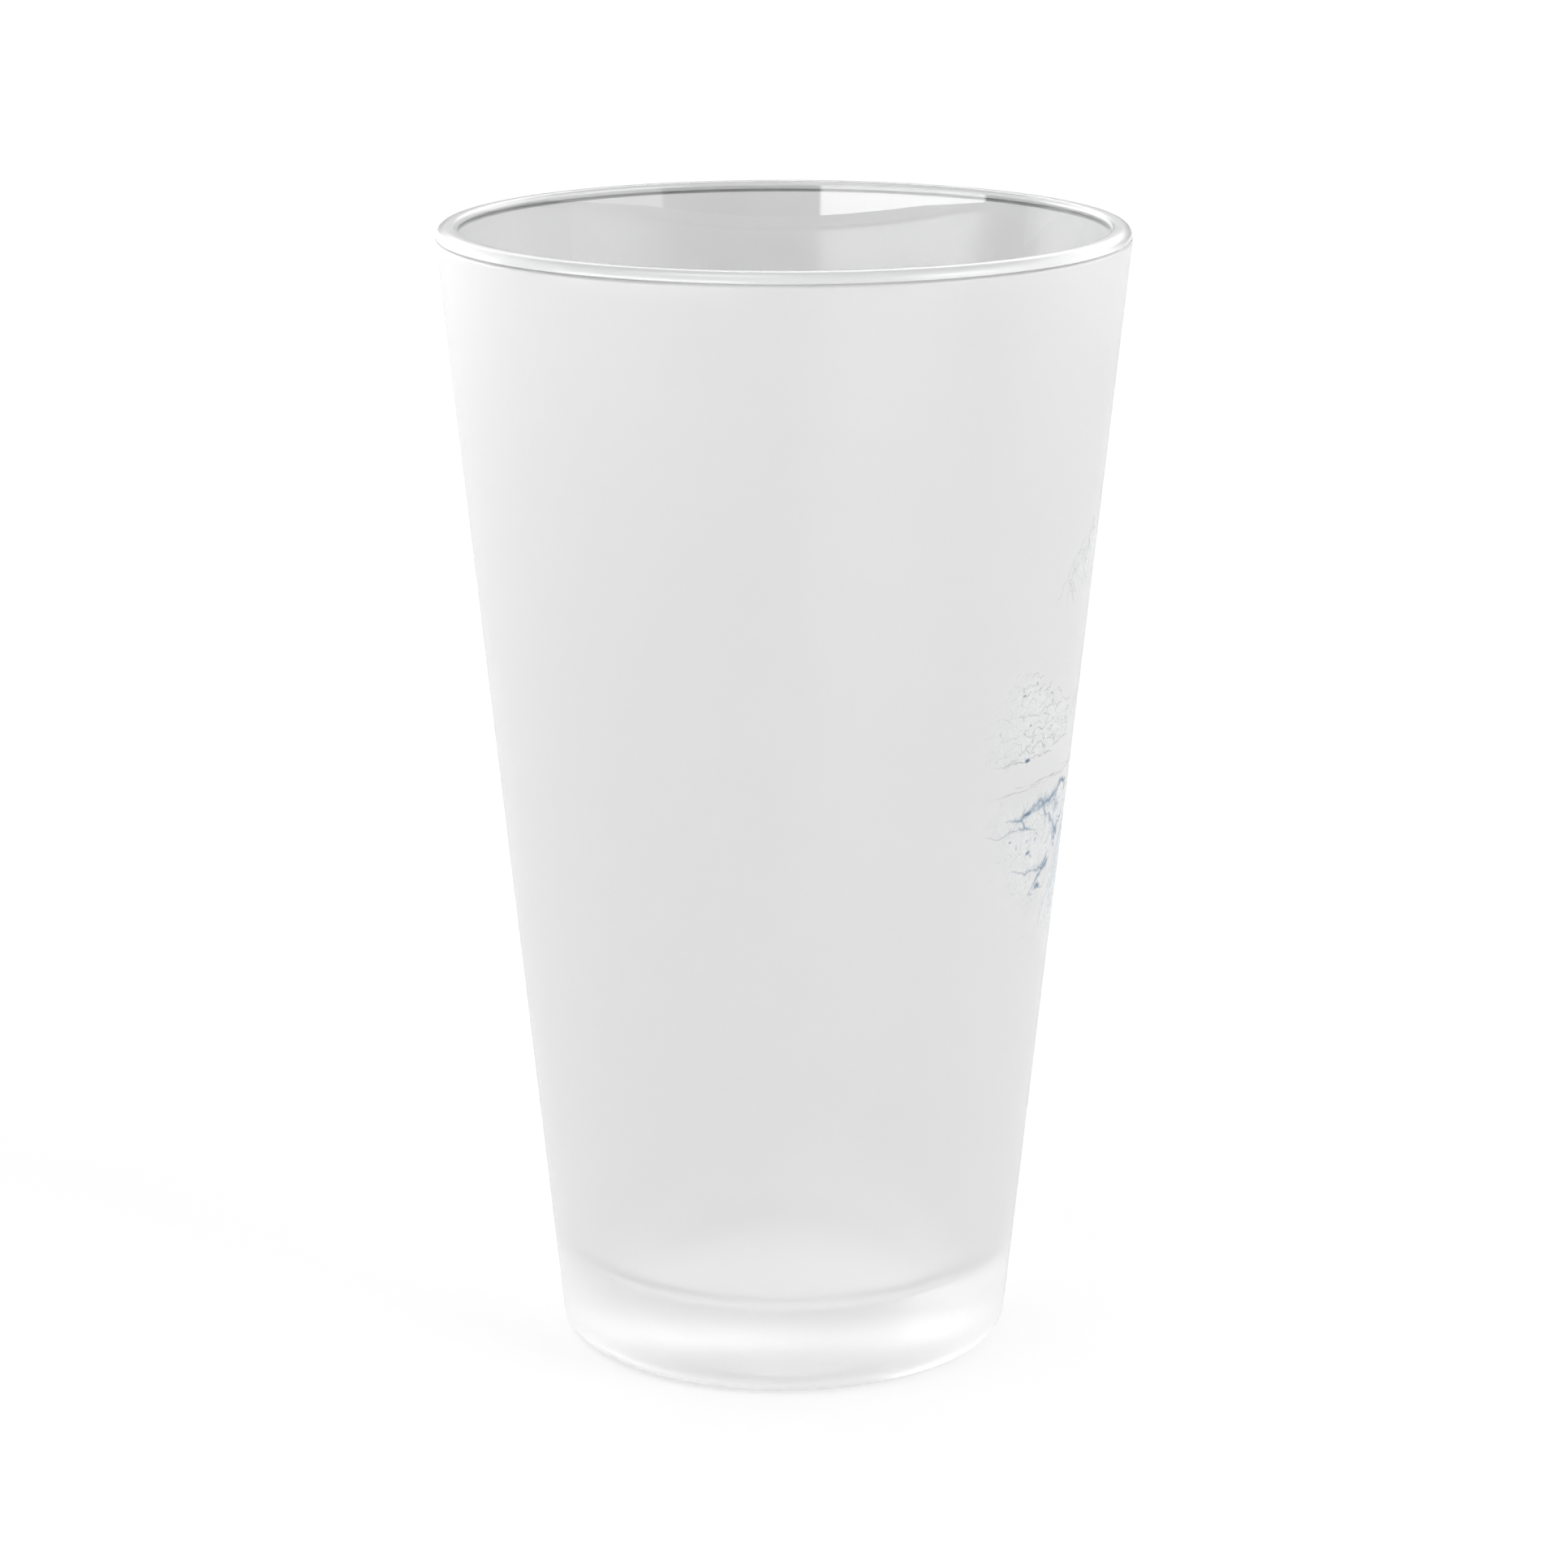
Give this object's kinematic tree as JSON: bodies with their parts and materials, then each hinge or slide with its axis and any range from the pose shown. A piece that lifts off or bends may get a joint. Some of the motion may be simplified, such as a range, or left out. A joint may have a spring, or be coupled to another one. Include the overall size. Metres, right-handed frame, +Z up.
{
  "type": "pint glass",
  "caption": "Tapered frosted drinking glass with a clear rolled rim, a thick solid base and a round printed landscape on one side.",
  "frame": {"origin": "centre of the face that the glass stands on", "axes": "+Z up along the axis of the glass, +X through the middle of the printed picture"},
  "size_m": [0.0887, 0.0888, 0.148],
  "materials": {
    "clear_glass": "clear soda-lime glass, fire-polished",
    "frosted_coat": "sprayed satin frosting, fine-grained, neutral white",
    "grey_ink": "matte transparent slate-grey line ink",
    "blue_ink": "matte navy and slate ink with pale washes",
    "pale_ink": "matte pale blue-white ink wash"
  },
  "bodies": {
    "root": {"glass_body": "clear_glass", "frosted_coating": "frosted_coat", "print_ridge": "grey_ink", "print_left_bank": "grey_ink", "print_right_bank": "grey_ink", "print_far_water": "grey_ink", "print_left_shore": "blue_ink", "print_right_shore": "blue_ink", "print_stream": "pale_ink"}
  },
  "joints": []
}
